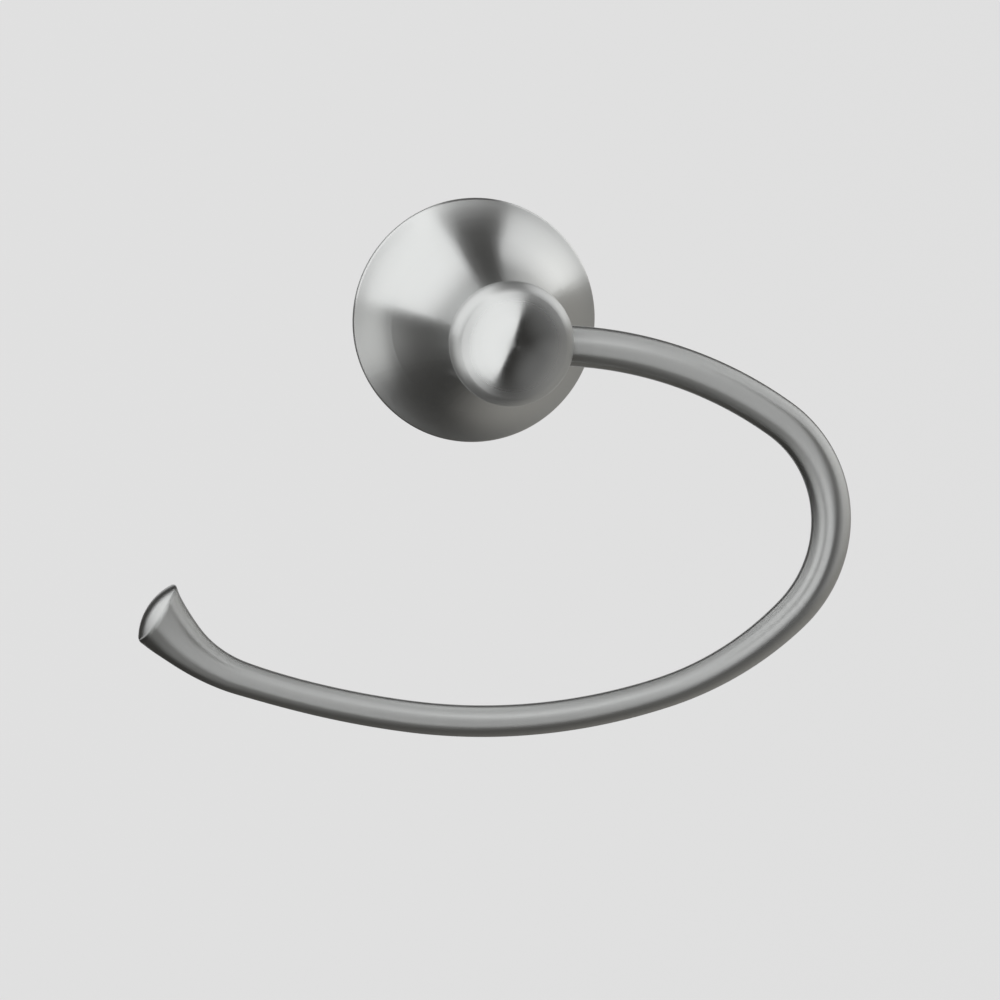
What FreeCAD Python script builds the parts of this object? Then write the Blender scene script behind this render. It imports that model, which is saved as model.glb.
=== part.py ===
import FreeCAD, Part
import math
import os
import Sketcher
from FreeCAD import Placement, Rotation, Vector

# Wall-mounted towel ring with an open, C-shaped arm.
# Frame: the wall is the plane y = 0 and the object stands out towards -Y, so depth is -y.
# The post's axis is the Y axis, +X is the right-hand side and +Z is up. Millimetres.

# Driving sizes: name, value, what it measures
SIZES = (
    ("base_radius", 31.75, "base where it meets the wall"),
    ("lip_depth", 1.8, "straight edge of the base"),
    ("lip_round", 0.7, "rounding of the base's front edge"),
    ("rim_slope", 27, "slope of the flare at the base's edge, degrees from the wall"),
    ("trunk_turn", 35.3, "turn of the trumpet's long curve from the neck, degrees"),
    ("neck_radius", 13.3, "thinnest place of the post"),
    ("neck_depth", 40, "depth of the thinnest place"),
    ("head_radius", 15.6, "widest ring of the head"),
    ("head_depth", 54, "depth of the widest ring"),
    ("edge_radius", 3.6, "rounding of the head's front edge"),
    ("dome_radius", 38, "sphere of the head's front"),
    ("wall_thick", 2.6, "casting wall round the hollow"),
    ("hollow_depth", 35, "depth of the hollow behind the head"),
    ("arm_depth", 47.5, "depth of the plane that the arm lies in"),
    ("lead_slope", 5.5, "slope of the arm's straight root, degrees below level"),
    ("lead_length", 18.6, "straight root from the post's axis to the first bend"),
    ("root_past_axis", 6, "arm's root beyond the post's axis, inside the head"),
    ("seat_gap", 0.06, "clearance round the arm's root, and at its end"),
    ("shoulder_radius", 105, "first bend, radius"),
    ("shoulder_turn", 30.5, "first bend, degrees"),
    ("bow_radius", 32.6, "bend at the right-hand side, radius"),
    ("bow_turn", 100.1, "bend at the right-hand side, degrees"),
    ("haunch_radius", 80.1, "bend below the right-hand side, radius"),
    ("haunch_turn", 27.7, "bend below the right-hand side, degrees"),
    ("sill_radius", 147.4, "bottom bend, radius"),
    ("sill_turn", 25.9, "bottom bend, degrees"),
    ("heel_radius", 235, "nearly straight stretch before the tip, radius"),
    ("heel_turn", 10.5, "nearly straight stretch before the tip, degrees"),
    ("toe_radius", 40.8, "upturned tip, radius"),
    ("toe_turn", 39, "upturned tip, degrees"),
    ("bar_radius", 5.1, "bar at its root and at the right-hand side"),
    ("slim_radius", 4, "bar along the bottom"),
    ("taper_start", 94, "where the taper starts, along the bar from the post's axis"),
    ("taper_length", 82, "length of the taper"),
    ("flare_length", 58, "length of the trumpet at the tip"),
    ("flare_power", 4.5, "how late the trumpet opens"),
    ("tip_radius", 8.45, "rim of the tip"),
    ("tip_cut", 24.5, "tilt of the tip's rim, degrees"),
    ("cap_height", 2.6, "height of the tip's domed end"),
    ("tip_round", 1, "rounding of the tip's rim"),
    ("screw_radius", 2.5, "both grub screws, M5"),
    ("thread_gap", 0.05, "clearance round a grub screw"),
    ("socket_width", 2.5, "hexagon socket, across flats"),
    ("socket_depth", 2.6, "hexagon socket, depth"),
    ("point_radius", 1.1, "flat end of a grub screw's point"),
    ("point_length", 1.4, "length of a grub screw's point"),
    ("lock_length", 8, "grub screw that holds the arm"),
    ("lock_bite", 0.6, "dimple in the arm's root"),
    ("set_length", 9, "grub screw under the post"),
    ("set_depth", 20, "depth of the set screw's axis"),
    ("lug_radius", 4.7, "boss round the set screw"),
    ("lug_clear", 1.6, "space between the boss and the bracket's key"),
    ("plate_radius", 20.5, "bracket's plate"),
    ("plate_thick", 2.5, "bracket's plate"),
    ("plate_bevel", 0.5, "bevel of the plate's front edge"),
    ("hole_spacing", 28, "between the two wall screws"),
    ("hole_radius", 2.4, "holes for the wall screws"),
    ("key_radius", 8, "bracket's key"),
    ("key_land", 3.15, "key in front of its groove"),
    ("key_bevel", 1, "bevel of the key's front edge"),
    ("groove_depth", 1.7, "groove that the set screw's point sits in"),
)

# Bends of the arm, in order from the root
BENDS = ("shoulder", "bow", "haunch", "sill", "heel", "toe")
# Sections of the bar on its straight root, as shares of the way back from the first bend
ROOT_SHARES = (1.0, 0.75, 0.5, 0.25, 0.0)
# Sections of the bar in each bend, as shares of its length after the bend's start
SECTION_SHARES = {
    "shoulder": (0.33, 0.67, 1.0),
    "bow": (0.2, 0.4, 0.6, 0.8, 1.0),
    "haunch": (0.33, 0.67, 1.0),
    "sill": (0.33, 0.67, 1.0),
    "heel": (0.3, 0.6, 0.85),
    "toe": (0.15, 0.4, 0.65),
}
ARC_START, ARC_END, ARC_CENTRE = 1, 2, 3
AXIS_GEOMETRY = -1
ORIGIN = (AXIS_GEOMETRY, 1)
RING_TOLERANCE = 0.05

doc = FreeCAD.newDocument("TowelRing")
sheet = doc.addObject("Spreadsheet::Sheet", "Sizes")
for row, (alias, value, note) in enumerate(SIZES, start=1):
    sheet.set(f"A{row}", note)
    sheet.set(f"B{row}", str(value))
    sheet.setAlias(f"B{row}", alias)
doc.recompute()


def size(alias):
    return float(sheet.get(alias))


# Small helpers for bodies, planes, sketches and bound dimensions


def new_body(label):
    body = doc.addObject("PartDesign::Body", label)
    body.Label = label
    doc.recompute()
    return body


def origin_plane(body, role):
    return next(f for f in body.Origin.OriginFeatures if f.Role == role)


def sketch_on(body, name, support, mode="FlatFace"):
    sketch = body.newObject("Sketcher::SketchObject", name)
    sketch.AttachmentSupport = support
    sketch.MapMode = mode
    return sketch


def plane_sketch(body, name, role, offset=None):
    sketch = sketch_on(body, name, (origin_plane(body, role), ""))
    if offset:
        sketch.setExpression("AttachmentOffset.Base.z", offset)
    doc.recompute()
    return sketch


def measure(sketch, expression):
    """What an expression comes to now; none at all stays on the axis."""
    if not expression:
        return 0.0
    value = sketch.evalExpression(expression)
    return float(getattr(value, "Value", value))


def bind(sketch, kind, references, expression):
    """A dimension that follows the sheet."""
    number = measure(sketch, expression)
    if kind == "Angle":
        number = math.radians(number)
    index = sketch.addConstraint(Sketcher.Constraint(kind, *references, number))
    sketch.setExpression(f"Constraints[{index}]", expression)
    return index


def circle_sketch(sketch, radius, centre_x=None, centre_y=None):
    """One circle; its centre lies on each axis that no expression moves it off."""
    centre = Vector(measure(sketch, centre_x), measure(sketch, centre_y), 0)
    ring = sketch.addGeometry(Part.Circle(centre, Vector(0, 0, 1), measure(sketch, radius)))
    if centre_x is None and centre_y is None:
        sketch.addConstraint(Sketcher.Constraint("Coincident", ring, ARC_CENTRE, *ORIGIN))
    elif centre_x is None:
        sketch.addConstraint(Sketcher.Constraint("PointOnObject", ring, ARC_CENTRE, -2))
        bind(sketch, "DistanceY", (*ORIGIN, ring, ARC_CENTRE), centre_y)
    else:
        sketch.addConstraint(Sketcher.Constraint("PointOnObject", ring, ARC_CENTRE, -1))
        bind(sketch, "DistanceX", (*ORIGIN, ring, ARC_CENTRE), centre_x)
    bind(sketch, "Radius", (ring,), radius)
    return ring


def add_arc(sketch, centre, begin, end, counter_clockwise):
    """An arc of the outline: its index, and the ends that the outline begins and ends at."""
    begin_angle = math.atan2(begin[1] - centre[1], begin[0] - centre[0])
    end_angle = math.atan2(end[1] - centre[1], end[0] - centre[0])
    radius = math.hypot(begin[0] - centre[0], begin[1] - centre[1])
    circle = Part.Circle(Vector(*centre, 0), Vector(0, 0, 1), radius)
    if counter_clockwise:
        low, high, ends = begin_angle, end_angle, (ARC_START, ARC_END)
    else:
        low, high, ends = end_angle, begin_angle, (ARC_END, ARC_START)
    while high < low:
        high += 2 * math.pi
    return (sketch.addGeometry(Part.ArcOfCircle(circle, low, high)), *ends)


def add_line(sketch, begin, end):
    line = Part.LineSegment(Vector(*begin, 0), Vector(*end, 0))
    return (sketch.addGeometry(line), ARC_START, ARC_END)


def join(sketch, first, second, smooth=False):
    kind = "Tangent" if smooth else "Coincident"
    sketch.addConstraint(Sketcher.Constraint(kind, first[0], first[2], second[0], second[1]))


def polygon(sketch, points):
    """A closed outline of straight lines; returns their indices."""
    lines = [add_line(sketch, a, b) for a, b in zip(points, points[1:] + points[:1])]
    for first, second in zip(lines, lines[1:] + lines[:1]):
        join(sketch, first, second)
    return [line[0] for line in lines]


def feature(body, kind, name, profile, **settings):
    made = body.newObject(f"PartDesign::{kind}", name)
    made.Profile = profile
    for key, value in settings.items():
        setattr(made, key, value)
    body.Tip = made
    return made


def round_edges(body, name, kind, radius, chosen):
    """Fillet or chamfer the edges that a test picks."""
    doc.recompute()
    base = body.Tip
    edges = [f"Edge{i}" for i, edge in enumerate(base.Shape.Edges, start=1) if chosen(edge)]
    made = body.newObject(f"PartDesign::{kind}", name)
    made.Base = (base, edges)
    made.setExpression("Radius" if kind == "Fillet" else "Size", radius)
    body.Tip = made
    doc.recompute()
    return made


def is_ring(edge, radius, centre):
    """Whether an edge is a full circle of this radius round this centre."""
    if edge.Degenerated or not edge.isClosed():
        return False
    near = edge.CenterOfMass.distanceToPoint(centre) < RING_TOLERANCE
    return near and abs(edge.Length - 2 * math.pi * radius) < RING_TOLERANCE


# Post: base, trumpet and domed head, cast in one and hollow behind


def trumpet_curves():
    """Centres and radii of the trumpet's two hollow curves, which meet smoothly.

    The long curve leaves the neck along the axis and turns by trunk_turn; the short one turns
    on to the slope of the base's edge. Their radii follow from how far they reach together.
    """
    slope, turn = math.radians(size("rim_slope")), math.radians(size("trunk_turn"))
    across = size("base_radius") - size("neck_radius")
    along = size("neck_depth") - size("lip_depth")
    long_across, long_along = 1 - math.cos(turn), math.sin(turn)
    short_across = math.cos(turn) - math.sin(slope)
    short_along = math.cos(slope) - math.sin(turn)
    share = long_across * short_along - short_across * long_along
    far = (across * short_along - short_across * along) / share
    near = (long_across * along - long_along * across) / share
    rim_centre = (
        size("base_radius") + near * math.sin(slope),
        -size("lip_depth") - near * math.cos(slope),
    )
    return rim_centre, (size("neck_radius") + far, -size("neck_depth")), near, far


def trunk_end(centre, radius):
    """The end of the trumpet's long curve, or of the hollow's curve beside it."""
    turn = math.radians(size("trunk_turn"))
    return centre[0] - radius * math.cos(turn), centre[1] + radius * math.sin(turn)


def head_points():
    """Places on the head's side: the neck, the turn of its S curve and the widest ring."""
    neck = (size("neck_radius"), -size("neck_depth"))
    ring = (size("head_radius"), -size("head_depth"))
    middle = ((neck[0] + ring[0]) / 2, (neck[1] + ring[1]) / 2)
    out, along = ring[0] - neck[0], neck[1] - ring[1]
    curve = (out**2 + along**2) / (4 * out)
    return neck, middle, ring, curve


def front_points():
    """Where the head's edge meets its dome, the dome's centre and its foremost point."""
    edge_centre = (size("head_radius") - size("edge_radius"), -size("head_depth"))
    rise = math.asin(edge_centre[0] / (size("dome_radius") - size("edge_radius")))
    reach = size("dome_radius") - size("edge_radius")
    dome_centre = (0.0, edge_centre[1] + reach * math.cos(rise))
    meet = (
        dome_centre[0] + size("dome_radius") * math.sin(rise),
        dome_centre[1] - size("dome_radius") * math.cos(rise),
    )
    return edge_centre, meet, dome_centre, (0.0, dome_centre[1] - size("dome_radius"))


def draw_post_section(sketch):
    """Half of the post's section, from the axis: outside first, then the hollow."""
    rim_centre, neck_centre, near, far = trumpet_curves()
    neck, middle, ring, curve = head_points()
    edge_centre, meet, dome_centre, front = front_points()
    wall, hollow = size("wall_thick"), -size("hollow_depth")
    corner = (size("base_radius"), 0.0)
    lip = (size("base_radius"), -size("lip_depth"))
    bend = trunk_end(neck_centre, far)
    inner_bend = trunk_end(neck_centre, far + wall)
    land = (rim_centre[0] - math.sqrt((near + wall) ** 2 - rim_centre[1] ** 2), 0.0)
    reach = (far + wall) ** 2 - (hollow - neck_centre[1]) ** 2
    inner_end = (neck_centre[0] - math.sqrt(reach), hollow)

    axis = add_line(sketch, (0.0, hollow), front)
    dome = add_arc(sketch, dome_centre, front, meet, True)
    edge = add_arc(sketch, edge_centre, meet, ring, True)
    cheek = add_arc(sketch, (ring[0] - curve, ring[1]), ring, middle, True)
    throat = add_arc(sketch, (neck[0] + curve, neck[1]), middle, neck, False)
    trunk = add_arc(sketch, neck_centre, neck, bend, False)
    flare = add_arc(sketch, rim_centre, bend, lip, False)
    side = add_line(sketch, lip, corner)
    foot = add_line(sketch, corner, land)
    inner_flare = add_arc(sketch, rim_centre, land, inner_bend, True)
    inner_trunk = add_arc(sketch, neck_centre, inner_bend, inner_end, True)
    floor = add_line(sketch, inner_end, (0.0, hollow))

    outline = (axis, dome, edge, cheek, throat, trunk, flare, side, foot)
    outline += (inner_flare, inner_trunk, floor)
    smooth_pairs = {(dome, edge), (edge, cheek), (cheek, throat), (throat, trunk)}
    smooth_pairs |= {(trunk, flare), (inner_flare, inner_trunk)}
    for first, second in zip(outline, outline[1:] + outline[:1]):
        join(sketch, first, second, (first, second) in smooth_pairs)

    def fix(kind, *references):
        sketch.addConstraint(Sketcher.Constraint(kind, *references))

    for line in (axis, side):
        fix("Vertical", line[0])
    for line in (foot, floor):
        fix("Horizontal", line[0])
    fix("PointOnObject", axis[0], ARC_START, -2)
    fix("PointOnObject", foot[0], ARC_START, -1)
    fix("PointOnObject", dome[0], ARC_CENTRE, -2)
    fix("Horizontal", cheek[0], ARC_CENTRE, cheek[0], cheek[1])
    fix("Equal", cheek[0], throat[0])
    fix("Horizontal", trunk[0], ARC_CENTRE, trunk[0], trunk[1])
    fix("Coincident", inner_flare[0], ARC_CENTRE, flare[0], ARC_CENTRE)
    fix("Coincident", inner_trunk[0], ARC_CENTRE, trunk[0], ARC_CENTRE)

    bind(sketch, "DistanceX", (*ORIGIN, foot[0], ARC_START), "Sizes.base_radius")
    bind(sketch, "DistanceY", (side[0], ARC_START, side[0], ARC_END), "Sizes.lip_depth")
    bind(sketch, "Angle", (trunk[0],), "Sizes.trunk_turn * 1deg")
    bind(sketch, "Angle", (flare[0],), "(90 - Sizes.rim_slope - Sizes.trunk_turn) * 1deg")
    bind(sketch, "DistanceX", (*ORIGIN, trunk[0], trunk[1]), "Sizes.neck_radius")
    bind(sketch, "DistanceY", (trunk[0], trunk[1], *ORIGIN), "Sizes.neck_depth")
    bind(sketch, "DistanceX", (*ORIGIN, cheek[0], cheek[1]), "Sizes.head_radius")
    bind(sketch, "DistanceY", (cheek[0], cheek[1], *ORIGIN), "Sizes.head_depth")
    bind(sketch, "Radius", (edge[0],), "Sizes.edge_radius")
    bind(sketch, "Radius", (dome[0],), "Sizes.dome_radius")
    bind(
        sketch,
        "Distance",
        (flare[0], flare[1], inner_flare[0], inner_flare[2]),
        "Sizes.wall_thick",
    )
    bind(sketch, "DistanceY", (axis[0], ARC_START, *ORIGIN), "Sizes.hollow_depth")


def make_post():
    body = new_body("post")
    section = plane_sketch(body, "post_section", "XY_Plane")
    draw_post_section(section)
    feature(body, "Revolution", "post_turned", section, ReferenceAxis=(section, ["V_Axis"]))
    doc.recompute()

    lug = plane_sketch(body, "lug_ring", "XY_Plane", "-(Sizes.key_radius + Sizes.lug_clear)")
    circle_sketch(lug, "Sizes.lug_radius", centre_y="-Sizes.set_depth")
    feature(body, "Pad", "lug", lug, Type="UpToFirst", Reversed=True)
    doc.recompute()

    tapping = plane_sketch(body, "set_hole_ring", "XY_Plane", "-Sizes.key_radius")
    circle_sketch(tapping, "Sizes.screw_radius + Sizes.thread_gap", centre_y="-Sizes.set_depth")
    feature(body, "Pocket", "set_hole", tapping, Type="ThroughAll")
    doc.recompute()

    seat = plane_sketch(body, "arm_seat_ring", "YZ_Plane")
    past = "(Sizes.root_past_axis + Sizes.seat_gap)"
    seat.setExpression("AttachmentOffset.Base.z", f"-{past} * cos(Sizes.lead_slope * 1deg)")
    seat.setExpression("AttachmentOffset.Base.y", f"{past} * sin(Sizes.lead_slope * 1deg)")
    tilt = Rotation(Vector(1, 0, 0), size("lead_slope"))
    seat.AttachmentOffset = Placement(Vector(0, 0, 0), tilt)
    seat.setExpression("AttachmentOffset.Rotation.Angle", "Sizes.lead_slope * 1deg")
    doc.recompute()
    circle_sketch(seat, "Sizes.bar_radius + Sizes.seat_gap", centre_x="-Sizes.arm_depth")
    feature(body, "Pocket", "arm_seat", seat, Type="ThroughAll", Reversed=True)
    doc.recompute()

    lock = plane_sketch(body, "lock_hole_ring", "XZ_Plane", "Sizes.arm_depth")
    circle_sketch(lock, "Sizes.screw_radius + Sizes.thread_gap")
    feature(body, "Pocket", "lock_hole", lock, Type="ThroughAll")
    doc.recompute()

    base_radius, lip_centre = size("base_radius"), Vector(0, -size("lip_depth"), 0)
    round_edges(
        body,
        "lip_rounding",
        "Fillet",
        "Sizes.lip_round",
        lambda edge: is_ring(edge, base_radius, lip_centre),
    )
    return body


# Arm: one tapered bar that bends in one plane and ends in a flared, domed tip


def bend_length(bend):
    return f"Sizes.{bend}_radius * Sizes.{bend}_turn * pi / 180"


def station(bend, share):
    """Length along the bar from the post's axis to a place in a bend."""
    before = [bend_length(b) for b in BENDS[: BENDS.index(bend)]]
    return " + ".join(["Sizes.lead_length", *before, f"{share} * {bend_length(bend)}"])


def bar_radius_at(bend, share):
    """The bar's radius: a soft taper from root to bottom, then the trumpet of the tip."""
    here, end = station(bend, share), station(BENDS[-1], 1.0)
    along = f"({here} - Sizes.taper_start) / Sizes.taper_length"
    ease = f"(1 + cos(180deg * max(0; min(1; {along})))) / 2"
    open_share = f"max(0; 1 - ({end} - ({here})) / Sizes.flare_length)"
    return (
        f"Sizes.slim_radius + (Sizes.bar_radius - Sizes.slim_radius) * {ease}"
        f" + (Sizes.tip_radius - Sizes.slim_radius) * pow({open_share}; Sizes.flare_power)"
    )


def draw_arm_line(sketch):
    """Centre line: a straight root, then bends that follow each other smoothly."""
    heading = -math.radians(size("lead_slope"))
    before, after = size("root_past_axis"), size("lead_length")
    here = (after * math.cos(heading), after * math.sin(heading))
    last = add_line(sketch, (-before * math.cos(heading), -before * math.sin(heading)), here)
    across, down = "cos(Sizes.lead_slope * 1deg)", "sin(Sizes.lead_slope * 1deg)"
    root_end, bend_start = (last[0], ARC_START), (last[0], ARC_END)
    bind(sketch, "DistanceX", (*root_end, *ORIGIN), f"Sizes.root_past_axis * {across}")
    bind(sketch, "DistanceY", (*ORIGIN, *root_end), f"Sizes.root_past_axis * {down}")
    bind(sketch, "DistanceX", (*ORIGIN, *bend_start), f"Sizes.lead_length * {across}")
    bind(sketch, "DistanceY", (*bend_start, *ORIGIN), f"Sizes.lead_length * {down}")
    for bend in BENDS:
        radius, turn = size(f"{bend}_radius"), math.radians(size(f"{bend}_turn"))
        centre = (here[0] + radius * math.sin(heading), here[1] - radius * math.cos(heading))
        heading -= turn
        there = (centre[0] - radius * math.sin(heading), centre[1] + radius * math.cos(heading))
        arc = add_arc(sketch, centre, here, there, False)
        join(sketch, last, arc, smooth=True)
        bind(sketch, "Radius", (arc[0],), f"Sizes.{bend}_radius")
        bind(sketch, "Angle", (arc[0],), f"Sizes.{bend}_turn * 1deg")
        here, last = there, arc


def section_on(body, line, name, bend, share, radius):
    """A round section of the bar, square to its centre line."""
    edge = f"Edge{BENDS.index(bend) + 2}"
    ring = sketch_on(body, name, [(line, edge)], "FrenetNB")
    ring.MapPathParameter = 1.0 - share
    doc.recompute()
    circle_sketch(ring, radius)
    return ring


def make_arm():
    body = new_body("arm")
    line = plane_sketch(body, "arm_line", "XZ_Plane", "Sizes.arm_depth")
    draw_arm_line(line)
    doc.recompute()

    rings = []
    for share in ROOT_SHARES:
        name = f"root_ring_{round(100 * share)}"
        ring = section_on(body, line, name, BENDS[0], 0.0, "Sizes.bar_radius")
        back = f"{share} * (Sizes.lead_length + Sizes.root_past_axis)"
        ring.setExpression("AttachmentOffset.Base.z", f"-{back}")
        rings.append(ring)
    for bend in BENDS:
        for share in SECTION_SHARES[bend]:
            name = f"{bend}_ring_{round(100 * share)}"
            rings.append(section_on(body, line, name, bend, share, bar_radius_at(bend, share)))
    rim = section_on(body, line, "rim_ring", BENDS[-1], 1.0, "Sizes.tip_radius")
    rim.AttachmentOffset = Placement(Vector(0, 0, 0), Rotation(Vector(0, 1, 0), size("tip_cut")))
    rim.setExpression("AttachmentOffset.Rotation.Angle", "Sizes.tip_cut * 1deg")
    rings.append(rim)
    doc.recompute()
    spine = (line, [f"Edge{i}" for i in range(1, len(BENDS) + 2)])
    feature(
        body,
        "AdditivePipe",
        "bar",
        rings[0],
        Sections=rings[1:],
        Spine=spine,
        Transformation="Multisection",
    )
    doc.recompute()

    cap = sketch_on(body, "cap_section", (rim, ""), "ObjectXZ")
    doc.recompute()
    draw_cap_section(cap)
    feature(body, "Revolution", "cap", cap, ReferenceAxis=(cap, ["V_Axis"]))
    doc.recompute()
    tip_radius, rim_centre = size("tip_radius"), rim.Placement.Base
    round_edges(
        body,
        "tip_rounding",
        "Fillet",
        "Sizes.tip_round",
        lambda edge: is_ring(edge, tip_radius, rim_centre),
    )

    floor = "Sizes.arm_depth - Sizes.bar_radius + Sizes.lock_bite"
    dimple = plane_sketch(body, "dimple_ring", "XZ_Plane", floor)
    circle_sketch(dimple, "Sizes.point_radius + Sizes.point_length + Sizes.thread_gap")
    feature(body, "Pocket", "dimple", dimple, Type="ThroughAll")
    doc.recompute()
    return body


def draw_cap_section(sketch):
    """Half of the tip's domed end: a shallow sphere on the rim."""
    radius, height = size("tip_radius"), size("cap_height")
    ball = (radius**2 + height**2) / (2 * height)
    top, rim, middle = (0.0, height), (radius, 0.0), (0.0, 0.0)
    axis = add_line(sketch, middle, top)
    dome = add_arc(sketch, (0.0, height - ball), top, rim, False)
    base = add_line(sketch, rim, middle)
    for first, second in ((axis, dome), (dome, base), (base, axis)):
        join(sketch, first, second)
    sketch.addConstraint(Sketcher.Constraint("Coincident", axis[0], ARC_START, *ORIGIN))
    sketch.addConstraint(Sketcher.Constraint("PointOnObject", axis[0], ARC_END, -2))
    sketch.addConstraint(Sketcher.Constraint("PointOnObject", base[0], ARC_START, -1))
    sketch.addConstraint(Sketcher.Constraint("PointOnObject", dome[0], ARC_CENTRE, -2))
    bind(sketch, "DistanceX", (*ORIGIN, base[0], ARC_START), "Sizes.tip_radius")
    bind(sketch, "DistanceY", (*ORIGIN, axis[0], ARC_END), "Sizes.cap_height")


# Bracket on the wall: a round plate with two screw holes and a grooved key


def draw_outline(sketch, corners):
    """A closed outline of straight lines whose corners follow the sheet.

    Each corner is a pair of expressions; an empty one keeps the corner on that axis.
    """
    values = [tuple(measure(sketch, text) for text in corner) for corner in corners]
    lines = polygon(sketch, values)
    for line, (across, up) in zip(lines, corners):
        if not across and not up:
            sketch.addConstraint(Sketcher.Constraint("Coincident", line, ARC_START, *ORIGIN))
            continue
        place(sketch, line, "X", across)
        place(sketch, line, "Y", up)


def place(sketch, line, way, text):
    """Puts the start of a line on an axis, or at a distance that follows the sheet."""
    if not text:
        other_axis = -2 if way == "X" else -1
        sketch.addConstraint(Sketcher.Constraint("PointOnObject", line, ARC_START, other_axis))
    elif measure(sketch, text) < 0:
        bind(sketch, f"Distance{way}", (line, ARC_START, *ORIGIN), f"-({text})")
    else:
        bind(sketch, f"Distance{way}", (*ORIGIN, line, ARC_START), text)


def make_wall_bracket():
    body = new_body("wall_bracket")
    section = plane_sketch(body, "bracket_section", "XY_Plane")
    groove_floor = "Sizes.key_radius - Sizes.groove_depth"
    half_floor = "Sizes.point_radius + Sizes.thread_gap"
    half_mouth = f"{half_floor} + Sizes.groove_depth"
    front = f"Sizes.set_depth + {half_mouth} + Sizes.key_land"
    plate_bevel = "Sizes.plate_thick - Sizes.plate_bevel"
    corners = (
        ("", ""),
        ("Sizes.plate_radius", ""),
        ("Sizes.plate_radius", f"-({plate_bevel})"),
        ("Sizes.plate_radius - Sizes.plate_bevel", "-Sizes.plate_thick"),
        ("Sizes.key_radius", "-Sizes.plate_thick"),
        ("Sizes.key_radius", f"-(Sizes.set_depth - ({half_mouth}))"),
        (groove_floor, f"-(Sizes.set_depth - ({half_floor}))"),
        (groove_floor, f"-(Sizes.set_depth + {half_floor})"),
        ("Sizes.key_radius", f"-(Sizes.set_depth + {half_mouth})"),
        ("Sizes.key_radius", f"-({front} - Sizes.key_bevel)"),
        ("Sizes.key_radius - Sizes.key_bevel", f"-({front})"),
        ("", f"-({front})"),
    )
    draw_outline(section, corners)
    feature(body, "Revolution", "bracket_turned", section, ReferenceAxis=(section, ["V_Axis"]))
    doc.recompute()

    hole = plane_sketch(body, "wall_hole_ring", "XZ_Plane")
    circle_sketch(hole, "Sizes.hole_radius", centre_x="Sizes.hole_spacing / 2")
    cut = feature(body, "Pocket", "wall_hole", hole, Type="ThroughAll", Reversed=True)
    doc.recompute()
    pair = body.newObject("PartDesign::Mirrored", "wall_holes")
    pair.Originals = [cut]
    pair.MirrorPlane = (origin_plane(body, "YZ_Plane"), [""])
    body.Tip = pair
    doc.recompute()
    return body


# Grub screws: plain M5 bodies with a cone point and a hexagon socket


def make_grub_screw(label, length):
    body = new_body(label)
    section = plane_sketch(body, f"{label}_section", "XZ_Plane")
    corners = (
        ("", ""),
        ("Sizes.point_radius", ""),
        ("Sizes.screw_radius", "Sizes.point_length"),
        ("Sizes.screw_radius", length),
        ("", length),
    )
    draw_outline(section, corners)
    feature(body, "Revolution", f"{label}_turned", section, ReferenceAxis=(section, ["V_Axis"]))
    doc.recompute()

    socket = plane_sketch(body, f"{label}_hexagon", "XY_Plane", f"{length} - Sizes.socket_depth")
    draw_hexagon(socket)
    feature(body, "Pocket", f"{label}_socket", socket, Type="ThroughAll", Reversed=True)
    doc.recompute()
    return body


def draw_hexagon(sketch):
    """A regular hexagon across flats, held by a circle through its corners."""
    corner = size("socket_width") / math.sqrt(3)
    angles = [math.radians(60 * i) for i in range(6)]
    lines = polygon(sketch, [(corner * math.cos(a), corner * math.sin(a)) for a in angles])
    ring = sketch.addGeometry(Part.Circle(Vector(0, 0, 0), Vector(0, 0, 1), corner), True)
    sketch.addConstraint(Sketcher.Constraint("Coincident", ring, ARC_CENTRE, *ORIGIN))
    for line in lines:
        sketch.addConstraint(Sketcher.Constraint("PointOnObject", line, ARC_START, ring))
    for line in lines[1:]:
        sketch.addConstraint(Sketcher.Constraint("Equal", lines[0], line))
    sketch.addConstraint(Sketcher.Constraint("PointOnObject", lines[0], ARC_START, -1))
    bind(sketch, "Radius", (ring,), "Sizes.socket_width / sqrt(3)")


def make_set_screw():
    """Under the post, pointing up into the groove of the bracket's key."""
    body = make_grub_screw("set_screw", "Sizes.set_length")
    body.Placement = Placement(Vector(0, 0, 0), Rotation(Vector(1, 0, 0), 180))
    body.setExpression("Placement.Base.y", "-Sizes.set_depth")
    reach = "Sizes.key_radius - Sizes.groove_depth + Sizes.thread_gap"
    body.setExpression("Placement.Base.z", f"-({reach})")
    return body


def make_arm_lock_screw():
    """Inside the hollow, on the post's axis, pointing forward into the arm's root."""
    body = make_grub_screw("arm_lock_screw", "Sizes.lock_length")
    body.Placement = Placement(Vector(0, 0, 0), Rotation(Vector(1, 0, 0), -90))
    reach = "Sizes.arm_depth - Sizes.bar_radius + Sizes.lock_bite - Sizes.thread_gap"
    body.setExpression("Placement.Base.y", f"-({reach})")
    return body


def check_and_write(bodies):
    for item in doc.Objects:
        if "Invalid" in item.State or "Error" in item.State:
            raise RuntimeError(f"{item.Name} failed: {item.State}")
    for body in bodies:
        if body.Shape.isNull() or not body.Shape.isValid():
            raise RuntimeError(f"{body.Label} has no sound shape")
    os.makedirs("parts", exist_ok=True)
    for body in bodies:
        body.Shape.exportStep(f"parts/{body.Label}.step")
        print(body.Label, "solids", len(body.Shape.Solids), "volume", round(body.Shape.Volume, 1))


pieces = [make_post(), make_arm(), make_arm_lock_screw(), make_wall_bracket(), make_set_screw()]
doc.recompute()
check_and_write(pieces)
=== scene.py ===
# %% [markdown]
# # A wall-mounted towel ring in brushed nickel
#
# The real object is a turned post with a domed head, and one round bar that leaves the head, bows
# down and round, and ends in a flared, domed tip. This lesson dresses the finished solids: it
# loads them as a fixed frame, builds the bar again as a smooth mesh that follows one rule, and
# gives every piece the metal finish that it has.

# %% Load the frame
import math

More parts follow.
